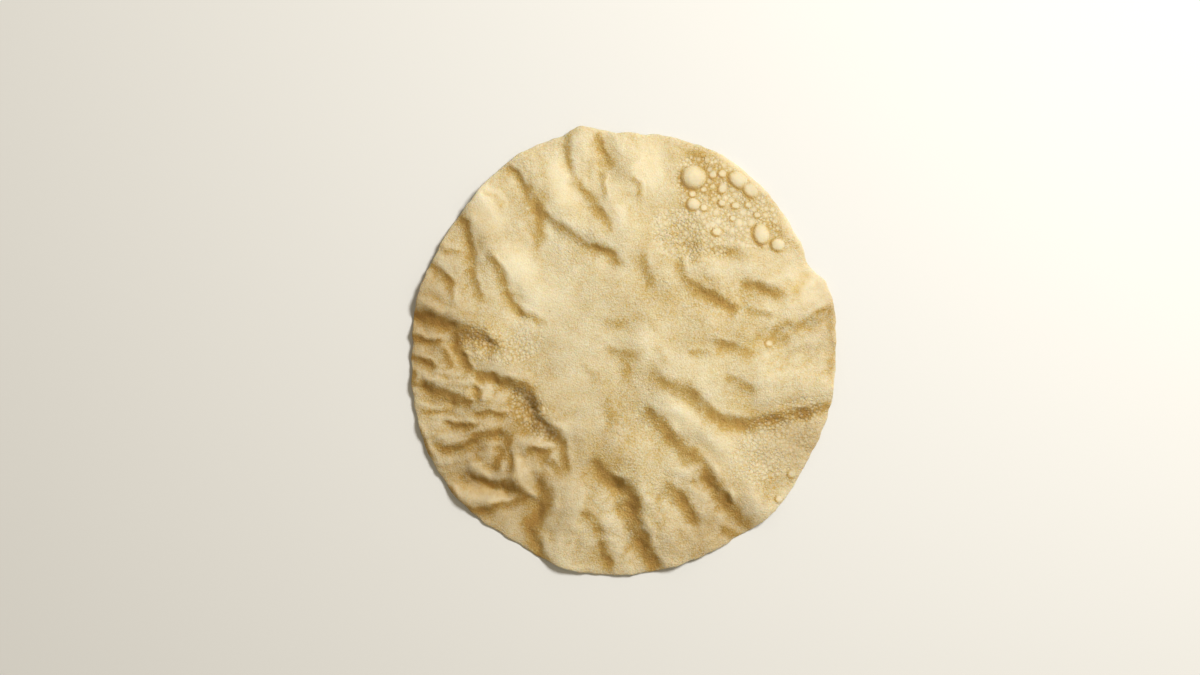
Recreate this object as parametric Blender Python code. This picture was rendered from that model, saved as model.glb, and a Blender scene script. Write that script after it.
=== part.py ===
"""A cooked papadum: one thin, crisp, round sheet of flatbread.

The sheet is domed a little, soft folds run in from its rim, and a few large blisters stand on
its upper face. It rests on the low places of its wavy rim.

The finished mesh is in metres, +Z up, with the middle of its footprint at the origin and its
lowest place at height 0. The sizes below are in millimetres and degrees. Bearings turn
anticlockwise from +X, and reaches are measured from the middle of the sheet.
"""

import math

import bmesh
import bpy
import numpy as np
from mathutils import Matrix, Vector, noise

MILLIMETRE = 0.001

# The sheet, from edge to edge about 190 across and 200 long
SHEET_RINGS = 28                # rings of points from the middle to the rim
SHEET_REACH = 97.5              # mean reach of the rim
SHEET_THICKNESS = 1.3           # straight up, edge to edge
DOME_RISE = 7.0                 # how far the middle stands above the rim

# The rim's reach at every 15 degrees, anticlockwise from +X
RIM_REACHES = (
    94.5, 96.2, 93.4, 95.5, 98.2, 98.9, 98.5, 100.3, 100.3, 96.8, 95.4, 95.9,
    95.0, 97.0, 98.7, 99.0, 98.0, 100.3, 99.6, 98.2, 97.0, 97.8, 95.4, 95.3,
)

# Short features of the rim: bearing, how far it stands out, and half width along the rim
RIM_NOTCH = (25.5, -3.4, 3.5)
RIM_TAB = (100.5, 3.6, 3.4)

# Folds. Each row is a raised crest: the bearing and reach where it starts, the same where it
# ends, its bow to the left on the way, its rise, and the width of its steep flank.
FOLDS = (
    # upper left
    (135, 101, 154, 65, 3, 2.8, 4.4),
    (139, 71, 157, 35, -3, 2.4, 4.6),
    (133, 97, 135, 75, 1, 1.2, 3.6),
    (119, 106, 119, 75, 3, 2.8, 4.2),
    (119, 82, 88, 47, -3, 2.6, 4.2),
    (106, 54, 83, 37, 5, 1.8, 4.4),
    (100, 108, 102, 79, -3, 2.8, 4.0),
    (103, 84, 85, 40, 5, 2.8, 3.8),
    (95, 104, 91, 67, 6, 2.2, 3.6),
    (84, 83, 79, 63, 2, 1.0, 4.0),
    (112, 101, 112, 75, 1, 1.0, 5.0),
    (153, 100, 157, 75, 3, 2.0, 4.2),
    (160, 98, 163, 75, 2, 1.4, 3.6),
    (151, 78, 161, 55, -2, 1.4, 3.2),
    # left, short pleats close together
    (165, 101, 175, 46, 2, 3.0, 4.4),
    (172, 98, 176, 76, 2, 1.6, 3.0),
    (178, 98, 188, 73, 4, 1.8, 3.0),
    (184, 98, 191, 79, 3, 1.5, 3.0),
    (188, 98, 200, 64, 4, 2.2, 3.2),
    (169, 79, 207, 39, -4, 2.8, 4.4),
    (196, 42, 253, 43, -3, 2.8, 4.8),
    (192, 98, 200, 81, 2, 1.3, 3.0),
    (199, 86, 204, 54, 2, 1.6, 3.0),
    (200, 101, 211, 56, -2, 1.9, 3.0),
    (206, 100, 214, 70, 0, 1.4, 3.0),
    (211, 96, 242, 75, 7, 2.4, 4.0),
    (215, 102, 240, 71, -5, 1.5, 3.4),
    (213, 59, 233, 77, 4, 1.8, 3.2),
    (223, 62, 242, 48, 4, 1.4, 3.0),
    # bottom
    (252, 108, 237, 47, -4, 3.4, 5.0),
    (252, 41, 283, 77, 4, 3.2, 5.0),
    (283, 109, 281, 67, 0, 3.4, 4.8),
    (270, 104, 259, 62, -2, 1.8, 4.6),
    (287, 48, 296, 90, 6, 2.2, 4.2),
    (292, 14, 313, 74, 3, 3.2, 5.2),
    (308, 109, 314, 64, 0, 3.2, 5.0),
    # right
    (0, 12, 339, 61, -4, 3.2, 6.0),
    (354, 100, 338, 52, 3, 3.0, 6.0),
    (16, 102, 13, 54, 3, 2.4, 4.8),
    (60, 52, 24, 60, -2, 2.2, 4.0),
    (40, 62, 20, 83, -2, 2.0, 4.0),
    (63, 55, 37, 77, 2, 1.5, 4.0),
    (78, 51, 48, 32, -1, 1.4, 4.4),
    (13, 32, 4, 66, 2, 1.6, 4.0),
    (354, 45, 344, 74, 2, 1.2, 4.0),
    (121, 10, 291, 15, 10, 1.3, 4.4),
)
FOLD_LEAN = 218.0               # bearing that the steep flanks face
FOLD_EASY_RATIO = 2.1           # width of the easy flank, in widths of the steep one
FOLD_TURNOVER = 3.0             # width over which one flank turns into the other
FOLD_STEPS = 12                 # straight steps that a crest is measured along
FOLD_AT_RIM = 94.0              # a fold that starts past this reach runs off the rim
FOLD_FADE_IN = 0.3              # share of its length over which a fold rises
FOLD_FADE_OUT = 0.4             # share of its length over which it runs out

# Uneven growth: the folds wander from their smooth curves, and the sheet swells between them
WANDER = 1.5
WANDER_LENGTH = 15.0
SWELL_RISE = 0.7
SWELL_LENGTH = 17.0
SWELL_CALM_MIDDLE = 0.45        # share of the swell that is left in the middle of the sheet

# Blisters: bearing, reach, half length, half width, rise, and the bearing that the length takes
BLISTERS = (
    (68.0, 83.6, 6.0, 5.7, 3.6, 0),
    (65.0, 72.1, 3.1, 2.9, 1.7, 0),
    (56.4, 92.0, 5.0, 3.6, 1.7, 325),
    (51.9, 91.0, 4.3, 3.2, 1.5, 315),
    (40.5, 80.5, 5.1, 3.9, 2.4, 100),
    (34.9, 83.2, 3.4, 3.0, 1.7, 0),
)
BLISTER_CUTS = 2                # extra cuts of each triangle edge under a blister
BLISTER_LONG_EDGE = 2.2         # edges under this are left as they are
BLISTER_MARGIN = 1.5            # how far past a blister the sheet is cut finer

SEAT_FLAT = 0.2                 # height that is pressed flat where the rim meets the table

CRUMB_COLOUR = (0.776, 0.617, 0.342, 1.0)
CRUMB_ROUGHNESS = 0.62


def smooth_step(share):
    """0 to 1, easing in and out, as share goes from 0 to 1."""
    share = np.clip(share, 0.0, 1.0)
    return share * share * (3.0 - 2.0 * share)


def place(bearing, reach):
    """The point of the sheet at a bearing and a reach."""
    angle = math.radians(bearing)
    return np.array((reach * math.cos(angle), reach * math.sin(angle)))


def rim_reach(bearing):
    """How far the rim is from the middle, on a smooth closed curve through RIM_REACHES."""
    count = len(RIM_REACHES)
    spot = (bearing % 360.0) / 360.0 * count
    index = int(spot)
    share = spot - index
    before, start, end, after = (RIM_REACHES[(index + step) % count] for step in (-1, 0, 1, 2))
    reach = start + 0.5 * share * (
        end - before
        + share * (2.0 * before - 5.0 * start + 4.0 * end - after)
        + share * share * (3.0 * (start - end) + after - before)
    )
    for middle, stand_out, half_width in (RIM_NOTCH, RIM_TAB):
        offset = (bearing - middle + 180.0) % 360.0 - 180.0
        reach += stand_out * math.exp(-((offset / half_width) ** 2))
    return reach


def flat_sheet():
    """A flat disc of even triangles, in rings of 6, 12, 18 and so on, out to the rim's outline."""
    sheet = bmesh.new()
    bmesh.ops.create_circle(sheet, cap_ends=True, cap_tris=True, segments=6, radius=1.0)
    bmesh.ops.subdivide_edges(
        sheet, edges=sheet.edges[:], cuts=SHEET_RINGS - 1, use_grid_fill=True
    )
    for vert in sheet.verts:
        distance = math.hypot(vert.co.x, vert.co.y)
        if distance < 1e-6:
            continue
        bearing = math.degrees(math.atan2(vert.co.y, vert.co.x)) % 360.0
        sector, within = divmod(bearing - 30.0, 60.0)
        off_middle = math.radians(within - 30.0)
        ring = distance * math.cos(off_middle) / math.cos(math.radians(30.0))
        along = 0.5 + 0.5 * math.tan(off_middle) / math.tan(math.radians(30.0))
        bearing = 30.0 + 60.0 * (sector + along)
        reach = ring * (SHEET_REACH + (rim_reach(bearing) - SHEET_REACH) * ring * ring)
        vert.co.xy = place(bearing, reach)
    return sheet


def cut_finer_under_blisters(body):
    """Cuts the upper face finer where a blister will rise from it."""
    for bearing, reach, half_length, half_width, rise, turn in BLISTERS:
        middle = Vector(place(bearing, reach))
        limit = half_length + BLISTER_MARGIN
        near = [
            face for face in upper_faces(body)
            if (face.calc_center_median().xy - middle).length < limit
        ]
        body.edges.index_update()
        edges = {
            edge for face in near for edge in face.edges
            if edge.calc_length() > BLISTER_LONG_EDGE and not edge_on_rim(edge)
        }
        edges = sorted(edges, key=lambda edge: edge.index)
        bmesh.ops.subdivide_edges(body, edges=edges, cuts=BLISTER_CUTS, use_grid_fill=True)
        mixed = [face for face in upper_faces(body) if len(face.verts) > 3]
        bmesh.ops.triangulate(body, faces=mixed)


def upper_faces(body):
    """The faces of the sheet's upper side, while it is still flat."""
    return [face for face in body.faces if face.normal.z > 0.5]


def edge_on_rim(edge):
    """True for an edge between the upper face and the side."""
    return any(abs(face.normal.z) < 0.5 for face in edge.link_faces)


def crest_points(start, end, bow):
    """Points along a fold's crest, a shallow arc that bows to the left by bow."""
    share = np.linspace(0.0, 1.0, FOLD_STEPS + 1)[:, None]
    way = end - start
    left = np.array((-way[1], way[0])) / np.hypot(*way)
    return start + way * share + left * (4.0 * bow * share * (1.0 - share))


def fold_height(points, fold):
    """How high one fold lifts each point of the sheet."""
    start_bearing, start_reach, end_bearing, end_reach, bow, rise, width = fold
    crest = crest_points(place(start_bearing, start_reach), place(end_bearing, end_reach), bow)
    nearest = np.full(len(points), np.inf)
    along = np.zeros(len(points))
    lee = np.zeros(len(points))
    lean = place(FOLD_LEAN, 1.0)
    for step in range(FOLD_STEPS):
        way = crest[step + 1] - crest[step]
        from_start = points - crest[step]
        share = np.clip(from_start @ way / (way @ way), 0.0, 1.0)
        off_crest = from_start - share[:, None] * way
        distance = np.hypot(off_crest[:, 0], off_crest[:, 1])
        closer = distance < nearest
        nearest = np.where(closer, distance, nearest)
        along = np.where(closer, (step + share) / FOLD_STEPS, along)
        lee = np.where(closer, off_crest @ lean, lee)
    strength = smooth_step((1.0 - along) / FOLD_FADE_OUT)
    if start_reach < FOLD_AT_RIM:
        strength = strength * smooth_step(along / FOLD_FADE_IN)
    steep_share = smooth_step(0.5 + lee / FOLD_TURNOVER)
    flank = width * (steep_share + FOLD_EASY_RATIO * (1.0 - steep_share))
    return rise * strength * np.exp(-((nearest / flank) ** 2))


def sheet_height(points):
    """Height of the sheet's underside: the dome, the swells between folds, and the folds."""
    outward = np.hypot(points[:, 0], points[:, 1]) / SHEET_REACH
    height = DOME_RISE * (1.0 - outward ** 2)
    calm = SWELL_CALM_MIDDLE + (1.0 - SWELL_CALM_MIDDLE) * np.clip(outward, 0.0, 1.0) ** 2
    swell = [noise.noise(Vector((x, y, 0.0)) / SWELL_LENGTH) for x, y in points]
    height = height + SWELL_RISE * calm * np.array(swell)
    drift = [noise.noise_vector(Vector((x, y, 0.0)) / WANDER_LENGTH).xy for x, y in points]
    wandered = points + WANDER * np.array(drift)
    for fold in FOLDS:
        height = height + fold_height(wandered, fold)
    return height


def blister_height(points):
    """How high the blisters lift the upper face: round caps that meet the sheet at a crease."""
    height = np.zeros(len(points))
    for bearing, reach, half_length, half_width, rise, turn in BLISTERS:
        offset = points - place(bearing, reach)
        length_way = place(turn, 1.0)
        width_way = place(turn + 90.0, 1.0)
        outward = np.hypot(offset @ length_way / half_length, offset @ width_way / half_width)
        height = np.maximum(height, rise * np.sqrt(np.clip(1.0 - outward ** 2, 0.0, 1.0)))
    return height


def resting_turn(body):
    """The turn that sets the body down on the three lowest places around its centre."""
    area = sum(face.calc_area() for face in body.faces)
    centre = sum((face.calc_center_median() * face.calc_area() for face in body.faces), Vector())
    centre = centre / area
    hull = bmesh.new()
    for vert in body.verts:
        hull.verts.new(vert.co)
    bmesh.ops.convex_hull(hull, input=hull.verts[:])
    hull.normal_update()
    down = Vector((0.0, 0.0, -1.0))
    turn = Matrix.Identity(3)
    for face in hull.faces:
        corners = [vert.co.xy - centre.xy for vert in face.verts]
        turns = [first.cross(second) for first, second in zip(corners, corners[1:] + corners[:1])]
        if face.normal.z < -0.5 and (min(turns) > 0.0 or max(turns) < 0.0):
            turn = face.normal.rotation_difference(down).to_matrix()
    hull.free()
    return turn


def shape_papadum():
    """The whole papadum as one closed body, in metres, standing at the origin."""
    body = flat_sheet()
    raised = bmesh.ops.extrude_face_region(body, geom=body.faces[:], use_keep_orig=True)
    upper = [item for item in raised["geom"] if isinstance(item, bmesh.types.BMVert)]
    bmesh.ops.translate(body, verts=upper, vec=(0.0, 0.0, SHEET_THICKNESS))
    bmesh.ops.recalc_face_normals(body, faces=body.faces[:])
    cut_finer_under_blisters(body)

    half_way = 0.5 * SHEET_THICKNESS
    under = [vert for vert in body.verts if vert.co.z < half_way]
    upper = [vert for vert in body.verts if vert.co.z > half_way]
    for verts, lift in ((under, 0.0), (upper, SHEET_THICKNESS)):
        points = np.array([vert.co.xy for vert in verts])
        heights = sheet_height(points) + lift
        if lift > 0.0:
            heights = heights + blister_height(points)
        for vert, height in zip(verts, heights):
            vert.co.z = height
    bmesh.ops.triangulate(body, faces=[face for face in body.faces if len(face.verts) > 3])

    bmesh.ops.rotate(body, verts=body.verts[:], cent=(0.0, 0.0, 0.0), matrix=resting_turn(body))
    lowest = min(vert.co.z for vert in body.verts) + SEAT_FLAT
    for vert in body.verts:
        vert.co.z = max(vert.co.z - lowest, 0.0)
    middle = [
        0.5 * (min(vert.co[axis] for vert in body.verts) + max(vert.co[axis] for vert in body.verts))
        for axis in (0, 1)
    ]
    bmesh.ops.translate(body, verts=body.verts[:], vec=(-middle[0], -middle[1], 0.0))
    bmesh.ops.scale(body, verts=body.verts[:], vec=(MILLIMETRE,) * 3)
    return body


def crumb_material():
    """Pale golden crisp flatbread."""
    material = bpy.data.materials.new("papadum_crumb")
    material.use_nodes = True
    shader = material.node_tree.nodes["Principled BSDF"]
    shader.inputs["Base Color"].default_value = CRUMB_COLOUR
    shader.inputs["Roughness"].default_value = CRUMB_ROUGHNESS
    shader.inputs["Metallic"].default_value = 0.0
    return material


def main():
    for item in list(bpy.data.objects):
        bpy.data.objects.remove(item)
    collection = bpy.data.collections.new("papadum")
    bpy.context.scene.collection.children.link(collection)
    body = shape_papadum()
    mesh = bpy.data.meshes.new("papadum")
    body.to_mesh(mesh)
    body.free()
    mesh.shade_smooth()
    mesh.materials.append(crumb_material())
    papadum = bpy.data.objects.new("papadum", mesh)
    collection.objects.link(papadum)


main()
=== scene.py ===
"""The looks of a cooked papadum: a thin crisp sheet with soft folds, ledges and blisters.

Metres, +Z up. The frame's sheet gives the outline, the dome and the main folds. The fine sheet
here is laid on it, and takes the crumb's ledges, hollows, pleats and blisters on top of that.
"""

import math
import random

import bmesh
import bpy
import numpy as np
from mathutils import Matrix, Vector, kdtree, noise


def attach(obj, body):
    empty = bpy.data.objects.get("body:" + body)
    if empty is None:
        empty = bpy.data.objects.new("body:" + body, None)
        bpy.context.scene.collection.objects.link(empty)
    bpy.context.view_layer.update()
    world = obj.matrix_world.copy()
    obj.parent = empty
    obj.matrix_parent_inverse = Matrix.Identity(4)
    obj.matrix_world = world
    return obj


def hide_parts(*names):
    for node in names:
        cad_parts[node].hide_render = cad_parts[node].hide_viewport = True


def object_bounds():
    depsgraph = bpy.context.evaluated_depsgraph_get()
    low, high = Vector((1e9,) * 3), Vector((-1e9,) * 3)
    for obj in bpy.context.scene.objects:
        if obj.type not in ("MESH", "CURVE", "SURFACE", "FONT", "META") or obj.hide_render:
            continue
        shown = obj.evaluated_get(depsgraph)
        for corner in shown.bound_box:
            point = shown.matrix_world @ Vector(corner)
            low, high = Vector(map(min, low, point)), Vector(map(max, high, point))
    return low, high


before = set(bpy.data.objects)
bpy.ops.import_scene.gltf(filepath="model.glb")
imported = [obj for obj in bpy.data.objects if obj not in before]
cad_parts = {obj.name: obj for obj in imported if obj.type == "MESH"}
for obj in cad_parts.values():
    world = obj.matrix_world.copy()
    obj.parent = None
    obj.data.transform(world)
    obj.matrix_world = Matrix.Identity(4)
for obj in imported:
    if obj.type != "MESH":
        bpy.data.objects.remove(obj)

CAD_LOW, CAD_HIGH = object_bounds()
MM = 0.001

# The photograph's frame: its size in pixels, its scale, and where the sheet's middle shows in it
PHOTO_WIDTH, PHOTO_HEIGHT = 1200, 675
PHOTO_SCALE = 0.4435 * MM
SHEET_MIDDLE_PIXEL = (623.8, 350.4)

# The sheet's rough radius, and the softness with which its relief stays inside the frame's box
SHEET_REACH = 97.0 * MM
BOX_EASE = 0.5 * MM

# The fine sheets: the cuts that each edge gets in each round, and the crumb's thickness
UPPER_CUTS = (9, 14)
UNDER_CUTS = (2, 9)
THICKNESS = 1.2 * MM
RIM_THICKNESS = 0.75 * MM
RIM_TAPER = 2.5 * MM
RIM_INSET = 0.1 * MM
RIM_RAISE = 1.5 * MM            # room for troughs that reach the rim, most at the upper right
RIM_RAISE_SIDE = math.radians(40.0)
RIM_RAISE_EVEN = 0.6            # the share of that room which the whole rim has
RIM_WAVES = ((6.0 * MM, 0.8 * MM), (2.8 * MM, 0.35 * MM))
RIM_WAVE_BASE = 0.4             # how deep the waves cut on average

# The guide: points closer than this are one, faces that look further up than this are cut away,
# and the rest is made smooth by this many rounds of cutting
GUIDE_MERGE = 0.01 * MM
GUIDE_UPWARD = -0.15
GUIDE_ROUNDS = 2

# The flat disc that each fine sheet starts as
DISC_SIDES = 6
DISC_RADIUS = 0.1

# Ledges: lines where the sheet drops away to its lower left. Each row has the start, middle and
# end in mm from the sheet's middle, then the drop across the line and the half width of the
# drop, both before LEDGE_DEPTH and LEDGE_SPREAD. Where the drop is negative, the sheet turns its
# face to the upper right there instead.
LEDGES = (
    # upper left
    (-54, 83, -44.5, 76.5, -42, 62, 0.9, 1.4),
    (-41, 79, -39, 66, -36, 55, 0.5, 1.2),
    (-40, 67, -30, 58, -18, 49, 0.9, 1.6),
    (-22, 51, -12, 46, -3, 46, 0.7, 1.5),
    (-64, 71, -57, 69, -52, 59, 0.6, 1.3),
    (-74, 62, -68, 53, -66, 34, 1.3, 1.9),
    (-68, 38, -65, 31, -61, 20, 1.0, 1.7),
    (-82, 48, -78, 45, -71, 45, 0.7, 1.3),
    (-88, 40, -81, 36, -74, 28, 1.2, 1.8),
    (-80, 36, -76.5, 31, -75, 20, 0.7, 1.4),
    (-62, 45, -55, 38, -49, 25, 1.0, 1.7),
    (-52, 30, -48, 21, -41, 16, 0.9, 1.7),
    (-48, 20, -41, 16, -33, 12, 0.6, 1.5),
    # top
    (-23.5, 98, -23.5, 86, -21, 76, 0.7, 1.5),
    (-23, 80, -15, 69, -7, 57, 0.85, 1.9),
    (-11, 64, -6.5, 58, -5, 50, 0.6, 1.5),
    (-13, 98, -8, 90, -4, 80, 0.8, 1.6),
    (-36.5, 66, -35.5, 58, -36, 46, 0.7, 2.4),
    (-8, 80, -8, 74, -7, 66, 0.6, 1.1),
    (-15, 48, -7, 45, 1, 34, 0.9, 2.2),
    (2, 77, 7, 74, 8, 64, 0.6, 1.2),
    (9, 45, 11, 36, 14, 27, 0.6, 1.4),
    # left
    (-97, 18, -85, 16, -74, 11, 3.0, 3.0),
    (-80, 13, -66, 8, -51, 1, 2.9, 2.8),
    (-98, 8, -88, 5, -80, 3, 2.0, 2.0),
    (-97, -1, -89, -3.5, -81, -6, 1.8, 1.7),
    (-80, 3, -77, -3, -75, -8, 1.2, 1.5),
    (-71.5, 8, -71, -2, -64, -10, 2.1, 2.0),
    (-68, -9, -57, -11, -44, -14, 2.1, 2.0),
    (-48, -13, -41, -19, -37, -29, 2.4, 3.0),
    (-91, -11, -82, -18, -72, -20.5, 2.5, 2.4),
    (-78, -20, -72, -21, -66, -25, 1.9, 1.9),
    (-93, -8, -92.5, -12, -92, -16, 1.1, 1.5),
    (-68, -15, -64, -18.5, -65, -24, 1.5, 1.5),
    (-92, -25, -84, -26, -74, -24.5, 0.6, 1.4),
    (-68, -27, -60, -27.5, -50, -27, 1.2, 1.3),
    (-81, -30, -73, -32, -64, -32.5, 1.7, 1.6),
    # lower left
    (-91, -33, -88.5, -41, -84, -49, 1.5, 2.0),
    (-85, -41, -74, -41.5, -64, -37, 2.2, 1.8),
    (-70, -39, -61, -36, -50, -35, 1.5, 1.6),
    (-42, -27, -33, -33, -25, -41, 2.7, 2.6),
    (-27, -39, -25, -46, -24, -56, 1.2, 1.9),
    (-44, -43.5, -37.5, -43, -31, -45, 1.8, 1.7),
    (-49, -36, -50, -46, -47, -57, 1.5, 1.6),
    (-53, -42, -54.5, -49, -56, -55, 1.4, 1.5),
    (-72, -53, -61, -57.5, -50, -58.5, 2.5, 2.2),
    (-55, -57, -46, -61, -41, -69, 3.1, 3.0),
    (-80, -57, -74, -66, -66, -71, 1.5, 1.9),
    (-69, -71, -58, -68.5, -43, -66, 1.8, 1.9),
    (-45, -74, -42, -76.5, -40, -83, 0.9, 1.9),
    (-38, -47, -31, -50, -26, -57, 0.8, 1.5),
    # bottom
    (-35, -52, -33.5, -66, -36, -80, 2.8, 3.4),
    (-34, -69, -38, -83, -32, -97, 2.5, 3.4),
    (-14, -46, -7, -54, 1, -60, 2.0, 2.8),
    (-6, -56, 3, -62, 7, -74, 3.2, 3.4),
    (5, -64, 8, -78, 13, -90, 3.2, 3.4),
    (9, -82, 13, -91, 17, -100, 2.4, 3.0),
    (-17, -69, -12, -75, -8, -83, 1.0, 2.2),
    (-9, -84, -7, -90, -4, -99, 1.1, 2.2),
    (17, -58, 24, -63, 29, -70, 1.2, 2.4),
    (24, -61, 30, -69, 35, -78, 1.3, 3.0),
    (9, -24, 17, -31, 25, -40, 1.4, 2.8),
    (20, -34, 27, -42, 33, -50, 1.1, 2.8),
    (30, -41, 34, -47, 37, -51, 1.0, 2.4),
    (36.5, -50, 42.5, -60, 49.5, -68, 4.1, 3.1),
    (45, -64, 52, -72, 60, -79, 1.0, 3.0),
    (44, -77, 48, -80, 54, -84, 0.9, 1.9),
    # right
    (13, -8, 22, -14, 36, -18, 0.8, 3.0),
    (28, -13, 35, -22, 43, -29, 0.8, 2.8),
    (36, -25, 52, -30.5, 71, -27.5, 1.9, 2.8),
    (61, -29, 74, -28, 84, -26, 1.2, 2.3),
    (75, -27, 84, -25.5, 94, -22, 1.1, 2.0),
    (44, -10, 53, -14, 61, -20, 0.7, 2.2),
    (38, 7, 47, 3, 59, 1, 0.8, 1.8),
    (28, 0, 33, 0, 40, -1, 0.5, 1.5),
    (74, 10, 83, 15.5, 92, 21, 0.8, 1.7),
    (63, 8, 70, 12, 77, 14, 0.6, 2.0),
    (62, 5.5, 68, 6, 75, 7, 0.7, 2.0),
    (54, 20, 60, 18, 67, 17, 0.5, 1.7),
    (25, 44, 27, 35, 33, 28, 0.8, 1.7),
    (28, 31, 41, 25, 52, 17, 1.4, 2.2),
    (50, 32, 62, 28.5, 74, 25, 0.8, 2.0),
    (84, 35, 80, 29, 76, 23, 0.5, 2.2),
    (37, 44, 46, 45.5, 56, 41, 0.6, 2.0),
    (31, 50, 33, 43, 34, 36, 0.5, 2.0),
    (66, 59, 69, 54, 71, 48, 0.5, 2.0),
    (30, 90, 34, 85, 40, 79, 0.5, 1.8),
    (92, 25, 93.5, 5, 93, -19, 0.4, 1.2),
    # middle
    (-12, 17, -4, 13.5, 5, 15, 0.3, 2.0),
    (3, 16, 10, 14.5, 17, 7, 0.2, 2.0),
    (-8, 3, -1, 0, 8, 0, 0.4, 1.8),
    (0, 1, 2.5, -7, 2, -18, 0.3, 2.0),
    (14, 4, 17, -1, 20, -6, 0.2, 1.7),
    (-18, -4, -14, -8, -10, -11, 0.2, 1.7),
    (-8, -20, -5, -26, -4, -35, 0.3, 2.0),
    # turned to the light
    (-62, -11, -58, -17, -61, -25, -1.0, 1.6),
    (-76, 9, -76, 0, -73.5, -8, -0.8, 1.4),
    (-93, 28, -84, 23, -75, 17, -0.9, 2.3),
    (-97, 11.5, -88, 10.5, -78, 6, -0.8, 1.6),
    (-91, -7, -83, -11, -75, -16, -0.9, 1.6),
    (-74, -15, -70, -18, -67, -23, -0.7, 1.3),
    (-38, -23, -31, -28, -21, -31, -0.6, 2.2),
    (-48, -37, -39, -39, -30, -40, -1.3, 1.8),
    (-47, -45, -43.5, -54, -39, -65, -2.0, 2.6),
    (-57.5, -35, -57, -40, -58, -46, -0.9, 1.5),
    (-85, -38, -74, -36, -62, -33, -1.0, 1.4),
    (-69, -30, -63, -30, -56, -31, -0.6, 1.2),
    (-69, -47, -63, -50, -57, -57, -1.2, 1.7),
    (-76, -57, -66, -63, -51, -63, -1.5, 2.4),
    (-57, -69, -52, -72, -50, -79, -0.6, 1.9),
    (8, -56, 14, -67, 16, -79, -0.8, 2.8),
    (-6, -80, -2, -85, 1, -92, -0.7, 1.9),
    (33, -56, 38, -65, 39, -77, -1.2, 2.2),
)
LEDGE_DEPTH = 1.05              # what the table's drops are multiplied by
LEDGE_SPREAD = 1.6              # and its half widths
LEDGE_LIGHT_SIDE = math.radians(38.0)   # bearing of the crest, as seen from the trough
LEDGE_STEPS = 10                # straight parts that a ledge's curve is cut into
LEDGE_SHAPE = 1.166             # steepness, for a drop of 1 and a half width of 1
LEDGE_CREST = 0.75              # widths of the crest and of the trough, for the half width
LEDGE_FOOT = 1.5
LEDGE_REACH = 3.8               # how far from its line a ledge is felt, in half widths
LEDGE_FADE = 0.25               # the share of a ledge's length in which each end dies away
LEDGE_BLEND = 0.5               # how softly a bent line's parts run together
LEDGE_UNEVENNESS = 0.6          # how much the lift of the ledges varies, and over what length
LEDGE_UNEVEN_LENGTH = 7.0 * MM
LEDGE_UNEVEN_LAYER = 40.0 * MM  # height of the slice of noise that this is read from

# Bends in the lines of the ledges: length and drift of each size of bend
LEDGE_WANDERS = ((9.0 * MM, 1.0 * MM), (4.0 * MM, 0.9 * MM), (2.0 * MM, 0.35 * MM))
WANDER_SHIFT = Vector((17.3, 4.1, 8.9))

# Hollows: middle, half sizes, turn and depth
HOLLOWS = (
    (-22, 45, 6, 4, 120, 0.6),
    (-44, -24, 7, 9, 20, 1.0),
    (-39, 47, 2.5, 2.5, 0, 0.4),
    (-15, -93, 5, 3, 0, 0.4),
    (70, 9, 8, 5, 20, 0.5),
)

# Crumpling of the whole sheet: length and height of each size of ripple, and whether it is
# puffed, with round crests and narrow creases
RIPPLES = (
    (15.0 * MM, 1.2 * MM, False),
    (8.0 * MM, 0.6 * MM, False),
    (5.0 * MM, 0.45 * MM, True),
    (2.6 * MM, 0.24 * MM, True),
)
RIPPLE_CALM_MIDDLE = 0.45       # the share of it that the middle of the sheet has
RIPPLE_CALM_LARGE = 0.3         # how much the smooth places take off the largest ripples
RIPPLE_SHIFT = Vector((31.7, 12.9, 5.3))

# Patches of close pleats: middle, half sizes, turn, bearing of the pleats, spacing and height in mm
PLEATS = (
    (-76, -14, 20, 26, 0, 352, 3.0, 1.1),
    (-70, -44, 22, 16, 0, 12, 3.0, 1.0),
    (-52, 62, 30, 10, 320, 300, 3.4, 0.3),
    (72, 8, 22, 24, 0, 15, 4.0, 0.5),
    (30, -70, 32, 14, 20, 295, 4.0, 0.6),
    (-20, -76, 24, 16, 340, 260, 4.0, 0.6),
)
PLEAT_LENGTH = 13.0 * MM
PLEAT_LAYER = 3.7

# Smooth places with little crumpling or grain: middle, half sizes, turn and strength
SMOOTH_PATCHES = (
    (12, 84, 7, 15, 0, 0.5),
    (55, 82, 24, 5, 320, 0.6),
    (78, 56, 14, 5, 300, 0.6),
    (84, 29, 10, 8, 330, 0.6),
    (-60, 62, 12, 9, 300, 0.5),
    (-46, 36, 8, 14, 20, 0.5),
    (-27, 75, 6, 12, 20, 0.5),
    (-60, -63, 12, 4, 350, 0.6),
    (-43, -54, 4, 9, 20, 0.5),
    (-37, 20, 14, 14, 0, 0.3),
    (26, -28, 10, 6, 320, 0.4),
    (44, -46, 14, 10, 330, 0.3),
)

# Painted shade: how amber the ledges' slopes turned from the light and the hollows are painted.
# Then how much paler the smooth places are, and the painted highlight along the rim
LEDGE_SHADE_AMBER = 0.6
LEDGE_AMBER_LEAST = 0.2         # for a ledge with no drop, with a drop's gain, and at most
LEDGE_AMBER_GAIN = 1.0 / 1.3
LEDGE_AMBER_MOST = 1.5
LEDGE_AMBER_SIDE = -0.35        # where it is most amber, below its line, in half widths
LEDGE_AMBER_WIDTH = 0.65
LEDGE_AMBER_REACH = 2.0         # how far past its ends the amber runs, in half widths
HOLLOW_SHADE_AMBER = 0.25
SMOOTH_PALENESS = 0.35
RIM_HIGHLIGHT = 0.2

# Painted shade and highlight: small hollows are painted amber and small crests pale. Rounds of
# evening out, the height that counts fully, and how amber that makes the crumb
CAVITY_SHADE_AND_HIGHLIGHT = ((60, 0.6 * MM, 0.15), (8, 0.16 * MM, 0.12))

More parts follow.
